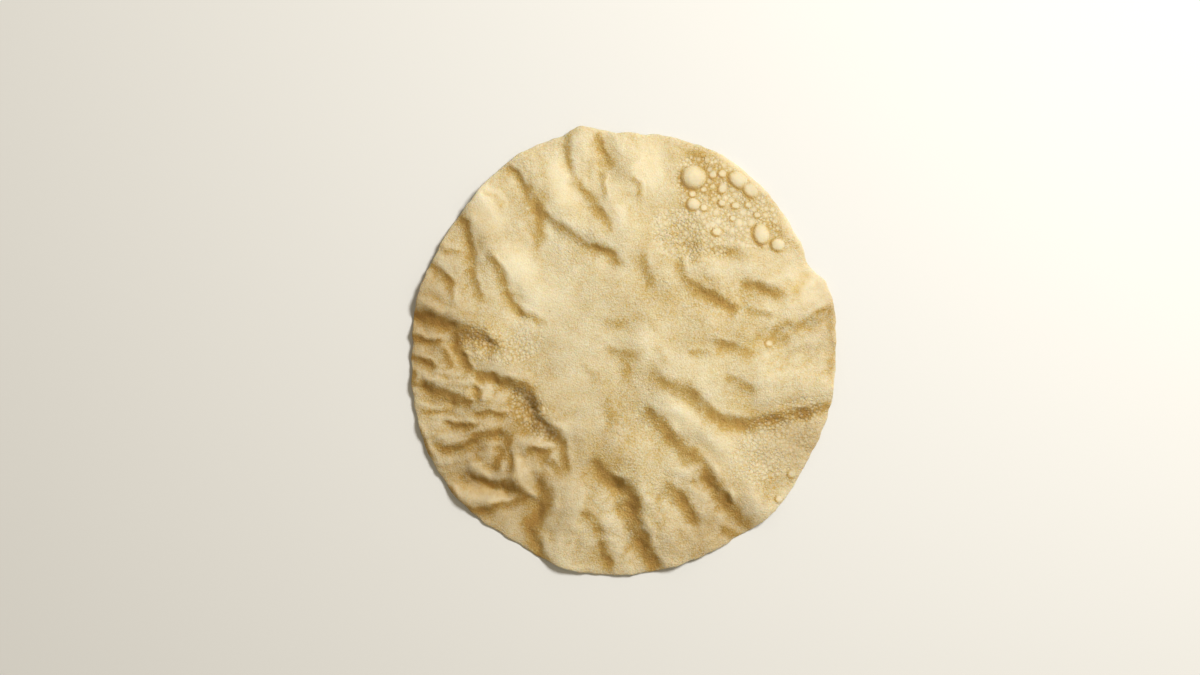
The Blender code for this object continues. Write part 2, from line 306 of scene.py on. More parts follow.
# The large blisters: middle, half length, half width, rise in mm, and turn
BIG_BLISTERS = (
    (31.1, 76.9, 5.8, 5.5, 2.6, 0),
    (30.8, 64.9, 3.1, 2.8, 1.6, 0),
    (30.5, 69.6, 1.7, 1.6, 0.7, 0),
    (51.0, 75.9, 4.9, 3.5, 1.5, 325),
    (56.3, 71.3, 4.0, 2.8, 0.9, 315),
    (38.2, 80.4, 1.3, 1.2, 0.5, 0),
    (35.6, 71.5, 1.6, 1.3, 0.5, 0),
    (43.6, 65.5, 1.7, 1.5, 0.6, 0),
    (49.6, 64.4, 1.9, 1.5, 0.7, 0),
    (55.4, 64.6, 1.6, 1.4, 0.6, 0),
    (59.3, 60.2, 1.6, 1.3, 0.6, 0),
    (48.4, 58.6, 1.5, 1.3, 0.5, 0),
    (61.1, 51.7, 4.9, 3.7, 1.9, 100),
    (68.4, 47.0, 3.2, 2.8, 1.5, 0),
    (39.6, 78.2, 1.8, 1.8, 0.7, 0),
    (43.8, 78.6, 2.0, 1.8, 0.7, 0),
    (44.0, 72.2, 2.6, 2.0, 0.8, 60),
    (35.6, 63.3, 1.7, 1.5, 0.6, 0),
    (41.2, 52.6, 2.3, 1.9, 0.8, 0),
    (74.8, -55.0, 1.9, 1.7, 0.8, 0),
    (69.0, -66.0, 1.6, 1.5, 0.7, 0),
    (64.5, 3.2, 1.7, 1.6, 0.7, 0),
)

# Small blisters: each patch has a middle, half sizes, turn, number, smallest and largest radius,
# and rise for the radius
BLISTER_PATCHES = (
    (46, 66, 27, 14, 320, 520, 0.6, 1.9, 0.27),
    (29, 50, 18, 12, 340, 300, 0.55, 1.3, 0.25),
    (68, -40, 25, 13, 42, 260, 0.55, 1.1, 0.3),
    (-40, -28, 14, 7, 310, 150, 0.6, 1.2, 0.5),
    (-58, 2, 17, 7, 345, 130, 0.55, 1.1, 0.34),
    (-42, 8, 7, 9, 0, 50, 0.55, 1.1, 0.34),
)
BLISTER_SEED = 11
BLISTER_TRIES = 3               # tries at a place for each small blister
BLISTER_SMALLNESS = 1.8         # above 1, small ones are more common than large ones
BLISTER_SHRINK = 0.5            # how much smaller they are at a patch's edge
BLISTER_RISES = (0.6, 1.2)      # least and greatest share of a patch's rise
BLISTER_ROOM = 0.82             # least distance between two, for the sum of their radii
BLISTER_FOOT = 1.2              # how far a small blister's foot spreads, for its radius
BLISTER_SLOPE = 1.5             # how gently its foot runs out
BLISTER_TOP = 0.8               # how pale and smooth its top is, beside a large blister's
BIG_BLISTER_GAP = 1.2           # mm between the spots that keep small ones off a large one
BIG_BLISTER_CLEAR = 0.9         # mm that each of those spots takes up
GRID_SQUARE = 2.5               # mm, the squares in which neighbours are looked for

# The large blisters' domes: the wide ones are those with a longer half length in mm
WIDE_BLISTER = 2.5
WIDE_DOME = 0.8
NARROW_DOME = 0.9

# Painted shade on their lower left edge, which turns from the light: strength, place and width
# for the half sizes, the way from the light, and how far the edge runs round
BLISTER_SHADE_AMBER = 1.1
BLISTER_EDGE = 0.95
BLISTER_EDGE_WIDTH = 0.25
BLISTER_EDGE_SIDE = (-0.8, -0.6)
BLISTER_EDGE_TURN = 0.3

# The parts of the upper face that are cut finer, for their close blisters
FINE_PATCHES = (
    (46, 64, 30, 21, 320),
    (68, -40, 25, 13, 42),
    (-40, -28, 15, 7, 310),
    (-54, 4, 18, 8, 345),
)

# Where the crumb has a fine bubbly grain: middle, half sizes, turn and strength
BUBBLY_PATCHES = (
    (46, 66, 28, 16, 320, 0.15),
    (29, 50, 20, 14, 340, 0.3),
    (66, -40, 28, 16, 40, 0.6),
    (-44, -22, 10, 12, 30, 1.0),
    (-54, 4, 14, 12, 0, 0.3),
    (36, 20, 26, 14, 350, 0.5),
    (5, -35, 16, 14, 0, 0.5),
    (-20, 48, 12, 8, 330, 0.6),
    (10, -75, 30, 24, 0, 0.5),
    (-72, -34, 22, 26, 0, 0.4),
)

# Golden patches: middle, half sizes, turn and strength. Some are the crumb's own golden mottle,
# and some are painted shade along troughs. Those with a negative strength are painted paler than
# the rest, as painted light
GOLDEN_PATCHES = (
    (-39.5, 60, 4, 14, 5, 0.3),
    (35, 85, 11, 4, 345, 0.3),
    (38, 70, 7, 8, 20, 0.25),
    (45, 70, 19, 12, 320, 0.1),
    (66, 56, 6, 10, 30, 0.2),
    (27, 47, 12, 9, 340, 0.15),
    (8, 41, 6, 10, 20, 0.15),
    (-27, 48, 16, 9, 330, -0.2),
    (22, 22, 26, 9, 350, 0.15),
    (42, 27, 14, 6, 330, 0.2),
    (62, 27, 10, 4, 350, 0.25),
    (2, -4, 7, 9, 20, 0.3),
    (-4, -24, 7, 11, 10, 0.35),
    (-45, -30, 9, 8, 0, 0.5),
    (-60, -30, 18, 20, 0, 0.1),
    (-8, -50, 12, 12, 0, 0.35),
    (26, -20, 18, 8, 320, 0.1),
    (52, -30, 24, 8, 5, 0.15),
    (-66, 6, 12, 10, 0, 0.3),
    (48, 4, 16, 8, 0, 0.2),
    (2, 4, 50, 42, 30, -0.08),
    (20, -18, 46, 24, 5, -0.06),
)

# Painted shade: places painted a little darker where the light falls off, most of them near the
# rim and at the lower left: middle, half sizes, turn and strength
PAINTED_SHADE_PATCHES = (
    (-62, -60, 42, 46, 320, 0.88),
    (-92, 12, 22, 42, 0, 0.95),
    (-68, 54, 16, 20, 50, 0.3),
    (10, -88, 34, 20, 0, 0.45),
    (40, -79, 26, 15, 20, 0.7),
    (-80, -10, 14, 12, 0, 0.35),
    (-45, -31, 11, 13, 0, 0.4),
    (-70, 48, 9, 7, 50, 0.25),
    (39, -61, 11, 15, 30, 0.6),
    (78, -40, 18, 16, 0, 0.7),
    (92, 16, 14, 26, 0, 0.45),
    (58, 54, 38, 32, 320, 0.15),
    (46, -78, 16, 12, 20, 0.2),
)

# How softly a patch ends: the painted shade fades out, and the others have firmer edges
SOFT_EDGE = 2
FIRM_EDGE = 4


def only(obj):
    """Selects one object and makes it the active one."""
    bpy.ops.object.select_all(action="DESELECT")
    obj.select_set(True)
    bpy.context.view_layer.objects.active = obj


def edit(obj, mode="FACE"):
    """Opens one object in edit mode, to select points, edges or faces."""
    only(obj)
    bpy.context.tool_settings.mesh_select_mode = [mode == kind for kind in ("VERT", "EDGE", "FACE")]
    bpy.ops.object.mode_set(mode="EDIT")


def close():
    """Leaves edit mode."""
    bpy.ops.object.mode_set(mode="OBJECT")


def points_of(obj):
    """The object's points, one row each."""
    flat = np.empty(len(obj.data.vertices) * 3)
    obj.data.vertices.foreach_get("co", flat)
    return flat.reshape(-1, 3)


def move_points(obj, points):
    """Puts the object's points in new places."""
    obj.data.vertices.foreach_set("co", points.ravel())
    obj.data.update()


def ease(share):
    """0 to 1, easing in and out."""
    share = np.clip(share, 0.0, 1.0)
    return share * share * (3.0 - 2.0 * share)


def noise_at(points, length, shift):
    """Soft noise at each point, whose bumps have about this length."""
    return np.array([noise.noise(Vector((x, y, 0.0)) / length + shift) for x, y in points])


def oval(points, spot):
    """How far each point is from an oval's middle, where 1 is its edge."""
    x, y, half_length, half_width, turn = spot
    angle = math.radians(turn)
    offset = points[:, :2] - np.array((x, y)) * MM
    along = offset @ np.array((math.cos(angle), math.sin(angle))) / (half_length * MM)
    across = offset @ np.array((-math.sin(angle), math.cos(angle))) / (half_width * MM)
    return np.hypot(along, across)


def smooth_guide():
    """A smooth open sheet that follows the underside of the frame's papadum."""
    guide = bpy.data.objects.new("guide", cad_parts["papadum"].data.copy())
    bpy.context.scene.collection.objects.link(guide)
    edit(guide)
    bpy.ops.mesh.select_all(action="SELECT")
    bpy.ops.mesh.remove_doubles(threshold=GUIDE_MERGE)
    close()
    for face in guide.data.polygons:
        face.select = face.normal.z > GUIDE_UPWARD
    edit(guide)
    bpy.ops.mesh.delete(type="FACE")
    close()
    bpy.ops.object.modifier_add(type="SUBSURF")
    smoother = guide.modifiers[-1]
    smoother.levels = GUIDE_ROUNDS
    bpy.ops.object.modifier_apply(modifier=smoother.name)
    return guide


def rim_of(guide):
    """Bearings and reaches of the guide's rim, in order."""
    mesh = bmesh.new()
    mesh.from_mesh(guide.data)
    rim = [vert.co.xy for vert in mesh.verts if vert.is_boundary]
    mesh.free()
    bearings = np.array([math.atan2(spot.y, spot.x) for spot in rim])
    reaches = np.array([spot.length for spot in rim])
    order = np.argsort(bearings)
    return bearings[order], reaches[order]


def wavy_rim(bearings, rim):
    """The rim's reach at each bearing, a little inside the guide's and finely waved."""
    reach = np.interp(bearings, *rim, period=2.0 * math.pi) - RIM_INSET
    for length, depth in RIM_WAVES:
        scale = SHEET_REACH / length
        spots = zip(scale * np.cos(bearings), scale * np.sin(bearings))
        waves = np.array([noise.noise(Vector((x, y, length / MM))) for x, y in spots])
        reach = reach - depth * np.clip(RIM_WAVE_BASE + waves, 0.0, 1.0)
    return reach


def fine_sheet(name, cuts, rim):
    """A flat disc of even triangles, cut to the rim's outline."""
    bpy.ops.object.select_all(action="DESELECT")
    bpy.ops.mesh.primitive_circle_add(vertices=DISC_SIDES, radius=DISC_RADIUS, fill_type="TRIFAN")
    sheet = bpy.context.object
    sheet.name = name
    edit(sheet)
    bpy.ops.mesh.select_all(action="SELECT")
    for count in cuts:
        bpy.ops.mesh.subdivide(number_cuts=count)
    close()

    # The disc has straight sides: each of its rings becomes round, with its points evenly spread
    points = points_of(sheet)
    distance = np.hypot(points[:, 0], points[:, 1]) / DISC_RADIUS
    bearing = np.degrees(np.arctan2(points[:, 1], points[:, 0])) % 360.0
    sector_angle = 360.0 / DISC_SIDES
    half_angle = sector_angle / 2.0
    sector, within = np.divmod(bearing - half_angle, sector_angle)
    off_middle = np.radians(within - half_angle)
    half = math.radians(half_angle)
    ring = distance * np.cos(off_middle) / math.cos(half)
    share = 0.5 + 0.5 * np.tan(off_middle) / math.tan(half)
    bearing = np.radians(half_angle + sector_angle * (sector + share))
    bearing = (bearing + math.pi) % (2.0 * math.pi) - math.pi

    # The further out a ring is, the more it follows the rim
    rim_reach = wavy_rim(bearing, rim)
    mean_reach = float(rim[1].mean())
    reach = ring * (mean_reach + (rim_reach - mean_reach) * ring * ring)
    points[:, 0] = reach * np.cos(bearing)
    points[:, 1] = reach * np.sin(bearing)
    points[:, 2] = 0.0
    move_points(sheet, points)
    return sheet


def cut_finer(sheet, spot):
    """Cuts each triangle in an oval into four."""
    inside = oval(points_of(sheet), spot) < 1.0
    edit(sheet, "VERT")
    bpy.ops.mesh.select_all(action="DESELECT")
    close()
    sheet.data.vertices.foreach_set("select", inside)
    edit(sheet, "VERT")
    bpy.ops.mesh.subdivide(number_cuts=1)
    bpy.ops.mesh.select_all(action="SELECT")
    bpy.ops.mesh.quads_convert_to_tris()
    close()


def lay_on(sheet, guide):
    """Drops a flat sheet straight onto the guide."""
    only(sheet)
    bpy.ops.object.modifier_add(type="SHRINKWRAP")
    wrap = sheet.modifiers[-1]
    wrap.target = guide
    wrap.wrap_method = "PROJECT"
    wrap.use_project_z = True
    wrap.use_negative_direction = True
    wrap.use_positive_direction = True
    bpy.ops.object.modifier_apply(modifier=wrap.name)


def ledge_lift(points, ledge):
    """Lift of one ledge, and its painted shade: how amber each point is on its shaded side."""
    x0, y0, x1, y1, x2, y2, drop, width = ledge

    # Its line, a curve through the three places, as short straight parts
    start, middle, end = (np.array(spot) * MM for spot in ((x0, y0), (x1, y1), (x2, y2)))
    share = np.linspace(0.0, 1.0, LEDGE_STEPS + 1)[:, None]
    control = 2.0 * middle - 0.5 * (start + end)
    line = (1 - share) ** 2 * start + 2 * share * (1 - share) * control + share ** 2 * end
    drop = drop * LEDGE_DEPTH
    width = width * LEDGE_SPREAD * MM
    reach = LEDGE_REACH * width

    # Where each near point is, as seen from each part of the line
    near = np.all((points > line.min(0) - reach) & (points < line.max(0) + reach), axis=1)
    spots = points[near]
    squares = np.empty((LEDGE_STEPS, len(spots)))
    sides = np.empty((LEDGE_STEPS, len(spots)))
    shares = np.empty((LEDGE_STEPS, len(spots)))
    light = np.array((math.cos(LEDGE_LIGHT_SIDE), math.sin(LEDGE_LIGHT_SIDE)))
    for step in range(LEDGE_STEPS):
        way = line[step + 1] - line[step]
        normal = np.array((-way[1], way[0])) / np.hypot(*way)
        normal = normal * (1.0 if normal @ light > 0 else -1.0)
        offset = spots - line[step]
        part = np.clip(offset @ way / (way @ way), 0.0, 1.0)
        off_line = offset - part[:, None] * way
        squares[step] = (off_line ** 2).sum(axis=1)
        sides[step] = off_line @ normal
        shares[step] = (step + part) / LEDGE_STEPS

    # The parts' answers run together, and the nearest part counts most
    nearest = squares.min(axis=0)
    weights = np.exp((nearest - squares) / (LEDGE_BLEND * width) ** 2)
    weights /= weights.sum(axis=0)
    side = (weights * sides).sum(axis=0)
    along = (weights * shares).sum(axis=0)
    strength = ease(along / LEDGE_FADE) * ease((1.0 - along) / LEDGE_FADE)
    across = side / width
    away = np.sqrt(nearest) / width

    # A crest on one side of the line, a trough on the other, and painted shade, amber, on the slope
    spread = np.exp(-(away / np.where(side < 0, LEDGE_FOOT, LEDGE_CREST)) ** 2)
    lift = np.zeros(len(points))
    amber = np.zeros(len(points))
    lift[near] = drop * MM * LEDGE_SHAPE * strength * across * spread
    shade = np.exp(-((across - LEDGE_AMBER_SIDE) / LEDGE_AMBER_WIDTH) ** 2)
    shade = shade * np.exp(-(away / LEDGE_AMBER_REACH) ** 4)
    full = np.clip(LEDGE_AMBER_LEAST + LEDGE_AMBER_GAIN * drop, 0.0, LEDGE_AMBER_MOST)
    amber[near] = full * strength * shade
    return lift, amber


def ripple(points, smooth):
    """Uneven crumpling, calmer in the middle of the sheet and in the smooth places."""
    lift = np.zeros(len(points))
    outward = np.clip(np.hypot(points[:, 0], points[:, 1]) / SHEET_REACH, 0.0, 1.0)
    calm = RIPPLE_CALM_MIDDLE + (1.0 - RIPPLE_CALM_MIDDLE) * outward ** 2
    for layer, (length, height, puffed) in enumerate(RIPPLES):
        values = noise_at(points, length, RIPPLE_SHIFT * layer)
        if puffed:
            values = np.abs(values)
        smoothing = RIPPLE_CALM_LARGE if layer == 0 else 1.0
        lift += height * values * calm * (1.0 - smooth * smoothing)
    return lift


def pleats(points):
    """Fine close folds that run in from the rim."""
    lift = np.zeros(len(points))
    for *spot, bearing, spacing, height in PLEATS:
        angle = math.radians(bearing)
        along = points @ np.array((math.cos(angle), math.sin(angle))) / PLEAT_LENGTH
        across = points @ np.array((-math.sin(angle), math.cos(angle))) / (spacing * MM)
        values = [noise.noise(Vector((u, v, PLEAT_LAYER))) for u, v in zip(along, across)]
        lift += height * MM * np.array(values) * np.exp(-oval(points, spot) ** 4)
    return lift


def rim_raise(points):
    """Lifts the rim a little, most at its upper right."""
    outward = np.hypot(points[:, 0], points[:, 1]) / SHEET_REACH
    turn = np.arctan2(points[:, 1], points[:, 0]) - RIM_RAISE_SIDE
    share = RIM_RAISE_EVEN + (1.0 - RIM_RAISE_EVEN) * np.cos(turn)
    return RIM_RAISE * outward ** 4 * share


class TakenRoom:
    """The places in mm that blisters have taken, kept by the squares of a grid."""

    def __init__(self):
        self.squares = {}

    def square(self, x, y):
        return int(x // GRID_SQUARE), int(y // GRID_SQUARE)

    def take(self, x, y, radius):
        self.squares.setdefault(self.square(x, y), []).append((x, y, radius))

    def is_free(self, x, y, radius):
        """Whether a blister there would keep clear of those in this square and the next ones."""
        square_x, square_y = self.square(x, y)
        for step_x in (-1, 0, 1):
            for step_y in (-1, 0, 1):
                for other in self.squares.get((square_x + step_x, square_y + step_y), ()):
                    distance = math.hypot(x - other[0], y - other[1])
                    if distance < BLISTER_ROOM * (radius + other[2]):
                        return False
        return True


def room_of_big_blisters():
    """The room that the large blisters take, as a mesh of spots in each."""
    taken = TakenRoom()
    for x, y, half_length, half_width, *_ in BIG_BLISTERS:
        steps = max(1, int(half_length / BIG_BLISTER_GAP))
        for step_x in range(-steps, steps + 1):
            for step_y in range(-steps, steps + 1):
                if math.hypot(step_x, step_y) <= steps:
                    spot_x = x + step_x * half_length / steps
                    spot_y = y + step_y * half_width / steps
                    taken.take(spot_x, spot_y, BIG_BLISTER_CLEAR)
    return taken


def scattered_blisters():
    """Middles, radii and rises of the small blisters, kept clear of the large ones."""
    draw = random.Random(BLISTER_SEED)
    taken = room_of_big_blisters()
    found = []
    for x, y, half_length, half_width, turn, count, smallest, largest, steepness in BLISTER_PATCHES:
        angle = math.radians(turn)
        for _ in range(count * BLISTER_TRIES):
            if count <= 0:
                break
            reach = math.sqrt(draw.random())
            bearing = draw.uniform(0.0, 2.0 * math.pi)
            along = half_length * reach * math.cos(bearing)
            across = half_width * reach * math.sin(bearing)
            spot_x = x + along * math.cos(angle) - across * math.sin(angle)
            spot_y = y + along * math.sin(angle) + across * math.cos(angle)
            size = draw.random() ** BLISTER_SMALLNESS * (1.0 - BLISTER_SHRINK * reach ** 4)
            radius = smallest + (largest - smallest) * size
            if taken.is_free(spot_x, spot_y, radius):
                taken.take(spot_x, spot_y, radius)
                rise = steepness * radius * draw.uniform(*BLISTER_RISES)
                found.append((spot_x * MM, spot_y * MM, radius * MM, rise * MM))
                count -= 1
    return found


def blisters(points):
    """Lift of every blister, how far up a blister each point is, and the painted shade on its lower
    left edge.
    """
    lift = np.zeros(len(points))
    top = np.zeros(len(points))
    edge = np.zeros(len(points))
    for x, y, half_length, half_width, rise, turn in BIG_BLISTERS:
        out = oval(points, (x, y, half_length, half_width, turn))
        dome = WIDE_DOME if half_length > WIDE_BLISTER else NARROW_DOME
        cap = np.clip(1.0 - out ** 2, 0.0, 1.0) ** dome
        lift = np.maximum(lift, rise * MM * cap)
        top = np.maximum(top, cap)
        # Painted shade: an amber ring on the side turned from the light
        offset = (points - np.array((x, y)) * MM) / (half_length * MM)
        turned = np.clip(offset @ np.array(BLISTER_EDGE_SIDE) + BLISTER_EDGE_TURN, 0.0, 1.0)
        ring = np.exp(-((out - BLISTER_EDGE) / BLISTER_EDGE_WIDTH) ** 2)
        edge = np.maximum(edge, ring * turned)
    tree = kdtree.KDTree(len(points))
    for index, (x, y) in enumerate(points):
        tree.insert((x, y, 0.0), index)
    tree.balance()
    for x, y, radius, rise in scattered_blisters():
        foot = radius * BLISTER_FOOT
        for _, index, distance in tree.find_range((x, y, 0.0), foot):
            cap = (1.0 - (distance / foot) ** 2) ** BLISTER_SLOPE
            lift[index] = max(lift[index], rise * cap)
            top[index] = max(top[index], BLISTER_TOP * cap)
    return lift, top, edge


def set_attribute(sheet, name, values):
    """Gives the sheet a number at each point, which its material reads by name."""
    attribute = sheet.data.attributes.new(name, "FLOAT", "POINT")
    attribute.data.foreach_set("value", np.asarray(values, dtype=np.float32))


def patches(points, table, edge):
    """How strongly each point lies in a table's ovals. A higher edge gives them firmer edges."""
    strongest = np.zeros(len(points))
    for *spot, strength in table:
        strongest = np.maximum(strongest, strength * np.exp(-oval(points, spot) ** edge))
    return strongest


def relief(points):
    """Lift of the ledges, hollows and ripples, how amber each point is, partly as painted shade, and
    how smooth it is.
    """
    wandered = points.copy()
    for length, drift in LEDGE_WANDERS:
        for axis in (0, 1):
            wandered[:, axis] += drift * noise_at(points, length, WANDER_SHIFT * axis)
    lift = np.zeros(len(points))
    amber = np.zeros(len(points))
    for ledge in LEDGES:
        ledge_height, ledge_shade = ledge_lift(wandered, ledge)
        lift += ledge_height
        # Painted shade: the slopes that turn from the light are painted amber
        amber += LEDGE_SHADE_AMBER * ledge_shade
    layer = Vector((0.0, 0.0, LEDGE_UNEVEN_LAYER)) / LEDGE_UNEVEN_LENGTH
    lift *= 1.0 + LEDGE_UNEVENNESS * noise_at(points, LEDGE_UNEVEN_LENGTH, layer)
    for *spot, depth in HOLLOWS:
        dent = np.exp(-oval(wandered, spot) ** 2)
        lift -= depth * MM * dent
        # Painted shade: the hollows are painted amber
        amber += HOLLOW_SHADE_AMBER * depth * dent
    # Golden patches, partly painted shade, and paler ones that are painted light
    for *spot, strength in GOLDEN_PATCHES:
        amber += strength * np.exp(-oval(wandered, spot) ** 2)
    smooth = patches(wandered, SMOOTH_PATCHES, FIRM_EDGE)
    amber -= SMOOTH_PALENESS * smooth
    lift += ripple(points, smooth) + pleats(wandered) + rim_raise(points)
    return lift, amber, smooth


def evened(sheet, heights, rounds):
    """The heights, each averaged with its neighbours' a number of times."""
    ends = np.empty(len(sheet.data.edges) * 2, dtype=np.int64)
    sheet.data.edges.foreach_get("vertices", ends)
    first, second = ends.reshape(-1, 2).T
    count = len(heights)
    neighbours = np.bincount(first, minlength=count) + np.bincount(second, minlength=count)
    for _ in range(rounds):
        total = np.bincount(first, heights[second], count) + np.bincount(second, heights[first], count)
        heights = 0.5 * heights + 0.5 * total / neighbours
    return heights


def rim_share(points, rim):
    """0 well inside the sheet, 1 at its rim."""
    bearing = np.arctan2(points[:, 1], points[:, 0])
    reach = wavy_rim(bearing, rim)
    return 1.0 - np.clip((reach - np.hypot(points[:, 0], points[:, 1])) / RIM_TAPER, 0.0, 1.0)


def above(heights, floor):
    """The heights, eased upwards where they would pass below the floor."""
    over = heights - floor
    return floor + 0.5 * (over + np.sqrt(over ** 2 + BOX_EASE ** 2))


def shape_sheet(sheet, rim, is_upper):
    """Gives a sheet that lies on the guide its relief, its height and its attributes."""
    points = points_of(sheet)
    flat = points[:, :2].copy()
    lift, amber, smooth = relief(flat)

    # Kept above the box's floor, and below its top by the thickness of the crumb
    points[:, 2] = above(points[:, 2] + lift, CAD_LOW.z)
    points[:, 2] = -above(-points[:, 2], THICKNESS - CAD_HIGH.z)

    # The upper face lies the crumb's thickness above the under one, with its blisters on top
    tops = np.zeros(len(points))
    near_rim = rim_share(flat, rim)
    if is_upper:
        body = THICKNESS + (RIM_THICKNESS - THICKNESS) * near_rim ** 2
        swelling, tops, edges = blisters(flat)
        # Painted shade on the large blisters' lower left edges
        amber += BLISTER_SHADE_AMBER * edges
        points[:, 2] += body + swelling * (1.0 - near_rim ** 3)
    points[:, 2] = np.minimum(points[:, 2], CAD_HIGH.z)
    # Painted highlight: the rim is painted paler
    amber -= RIM_HIGHLIGHT * near_rim ** 2

    # Painted shade and highlight: small hollows are painted amber, and small crests paler
    for rounds, depth, weight in CAVITY_SHADE_AND_HIGHLIGHT:
        hollow = (evened(sheet, points[:, 2], rounds) - points[:, 2]) / depth
        amber += weight * np.clip(hollow, -1.0, 1.0) * (1.0 - tops) * (1.0 - near_rim)
    move_points(sheet, points)
    set_attribute(sheet, "amber", amber)
    set_attribute(sheet, "blister", tops)
    set_attribute(sheet, "smooth", smooth)
    set_attribute(sheet, "bubbly", patches(flat, BUBBLY_PATCHES, FIRM_EDGE))
    set_attribute(sheet, "painted_shade", patches(flat, PAINTED_SHADE_PATCHES, SOFT_EDGE))


def join_at_rim(upper, under):
    """Turns the under sheet over, joins it to the upper one and closes the rim between them."""
    edit(under)
    bpy.ops.mesh.select_all(action="SELECT")
    bpy.ops.mesh.flip_normals()
    close()
    only(upper)
    under.select_set(True)
    bpy.ops.object.join()
    edit(upper, "EDGE")
    bpy.ops.mesh.select_all(action="DESELECT")
    bpy.ops.mesh.select_non_manifold(
        extend=False,
        use_wire=False,
        use_boundary=True,
        use_multi_face=False,
        use_non_contiguous=False,
        use_verts=False,
    )
    bpy.ops.mesh.bridge_edge_loops()
    bpy.ops.mesh.select_all(action="SELECT")
    bpy.ops.mesh.quads_convert_to_tris()
    close()


def make_papadum():
    """The whole papadum as one closed piece, which stands on the floor of the frame's box."""
    guide = smooth_guide()
    rim = rim_of(guide)
    upper = fine_sheet("papadum_sheet", UPPER_CUTS, rim)
    for spot in FINE_PATCHES:
        cut_finer(upper, spot)
    under = fine_sheet("papadum_underside", UNDER_CUTS, rim)
    for sheet in (upper, under):
        lay_on(sheet, guide)
        shape_sheet(sheet, rim, sheet is upper)
    bpy.data.objects.remove(guide)
    join_at_rim(upper, under)
    points = points_of(upper)
    points[:, 2] -= points[:, 2].min() - CAD_LOW.z
    move_points(upper, points)
    only(upper)
    bpy.ops.object.shade_smooth()
    return upper


class Nodes:
    """Short calls for building one material's nodes."""

    def __init__(self, name):
        self.material = bpy.data.materials.new(name)
        self.material.use_nodes = True
        self.tree = self.material.node_tree
        self.shader = self.tree.nodes["Principled BSDF"]

    def add(self, kind, **settings):
        node = self.tree.nodes.new(kind)
        for key, value in settings.items():
            setattr(node, key, value)
        return node

    def link(self, source, target):
        self.tree.links.new(source, target)

    def attribute(self, name):
        return self.add("ShaderNodeAttribute", attribute_name=name).outputs["Fac"]

    def noise(self, scale, detail=3.0, roughness=0.55):
        node = self.add("ShaderNodeTexNoise")
        node.inputs["Scale"].default_value = scale
        node.inputs["Detail"].default_value = detail
        node.inputs["Roughness"].default_value = roughness
        self.link(self.place(), node.inputs["Vector"])
        return node.outputs["Fac"]

    def cells(self, scale):
        """The distance from the middles of scattered cells."""
        node = self.add("ShaderNodeTexVoronoi")
        node.inputs["Scale"].default_value = scale
        self.link(self.place(), node.inputs["Vector"])
        return node.outputs["Distance"]

    def place(self):
        """Where on the object a point is, in metres."""
        return self.add("ShaderNodeTexCoord").outputs["Object"]

    def math(self, operation, first, second):
        node = self.add("ShaderNodeMath", operation=operation)
        for socket, value in zip(node.inputs, (first, second)):
            if isinstance(value, (int, float)):
                socket.default_value = value
            else:
                self.link(value, socket)
        return node.outputs["Value"]

    def ramp(self, value, low, high, start=0.0, end=1.0):
        """Start where the value is low, end where it is high, and even steps between."""
        node = self.add("ShaderNodeMapRange", clamp=True)
        self.link(value, node.inputs["Value"])
        for name, number in (("From Min", low), ("From Max", high), ("To Min", start), ("To Max", end)):
            node.inputs[name].default_value = number
        return node.outputs["Result"]

    def spread(self, noise, start, end):
        """A noise's usual values, spread from start to end."""
        return self.ramp(noise, NOISE_LOW, NOISE_HIGH, start, end)

    def mix(self, share, first, second, blend="MIX"):
        node = self.add("ShaderNodeMix", data_type="RGBA", blend_type=blend)
        self.link(share, node.inputs["Factor"])
        colour_sockets = [item for item in node.inputs if item.type == "RGBA"]
        for socket, value in zip(colour_sockets, (first, second)):
            if isinstance(value, tuple):
                socket.default_value = (*value, 1.0)
            else:
                self.link(value, socket)
        return [item for item in node.outputs if item.type == "RGBA"][0]

    def bump(self, height, distance, strength, normal=None):
        node = self.add("ShaderNodeBump")
        node.inputs["Distance"].default_value = distance
        node.inputs["Strength"].default_value = strength
        self.link(height, node.inputs["Height"])
        if normal is not None:
            self.link(normal, node.inputs["Normal"])
        return node.outputs["Normal"]


# The colours of the crumb and of the floor
CREAM = (0.84, 0.778, 0.575)
GOLD = (0.71, 0.505, 0.17)
DEEP_AMBER = (0.61, 0.38, 0.11)
BLISTER_PALE = (0.725, 0.675, 0.50)
BLISTER_PALENESS = 0.7
SPECK = (0.36, 0.22, 0.08)
SPECK_STRENGTH = 0.45
PAINTED_SHADE_TINT = (0.70, 0.61, 0.485)     # what the colour is multiplied by, for painted shade
FLOOR = (0.78, 0.78, 0.76)
FLOOR_SIZE = 6.0
FLOOR_MATTNESS = 0.7

# How amber the flat crumb is, between cream at 0 and gold at 1, and where it turns to deep amber,
# which the strongest painted shade reaches
AMBER_BASE = 0.40
DEEP_AMBER_RANGE = (0.85, 1.7)

# The crumb's patterns, in repeats to the metre, from the broadest to the finest
SPECK_AREAS = 45.0
DRIFT = 60.0
MOTTLE = 150.0
SPECKS = 160.0
PEBBLES = 820.0
GRAIN = 1300.0
FINEST_GRAIN = 1500.0
NOISE_HARSHNESS = 0.7           # roughness of the mottle and of the grains
NOISE_LOW, NOISE_HIGH = 0.3, 0.7

# How each pattern changes how amber the crumb is, from the pattern's lowest places to its highest.
# Where there are four numbers, the first two are those lowest and highest places.
MOTTLE_PATCHINESS = (0.5, 1.5)  # this one multiplies the shape's own amber, the others add
MOTTLE_AMBER = (-0.14, 0.18)
DRIFT_AMBER = (-0.1, 0.1)
GRAIN_AMBER = (-0.48, 0.48)
PEBBLE_AMBER = (0.1, 0.8, -0.15, 0.2)

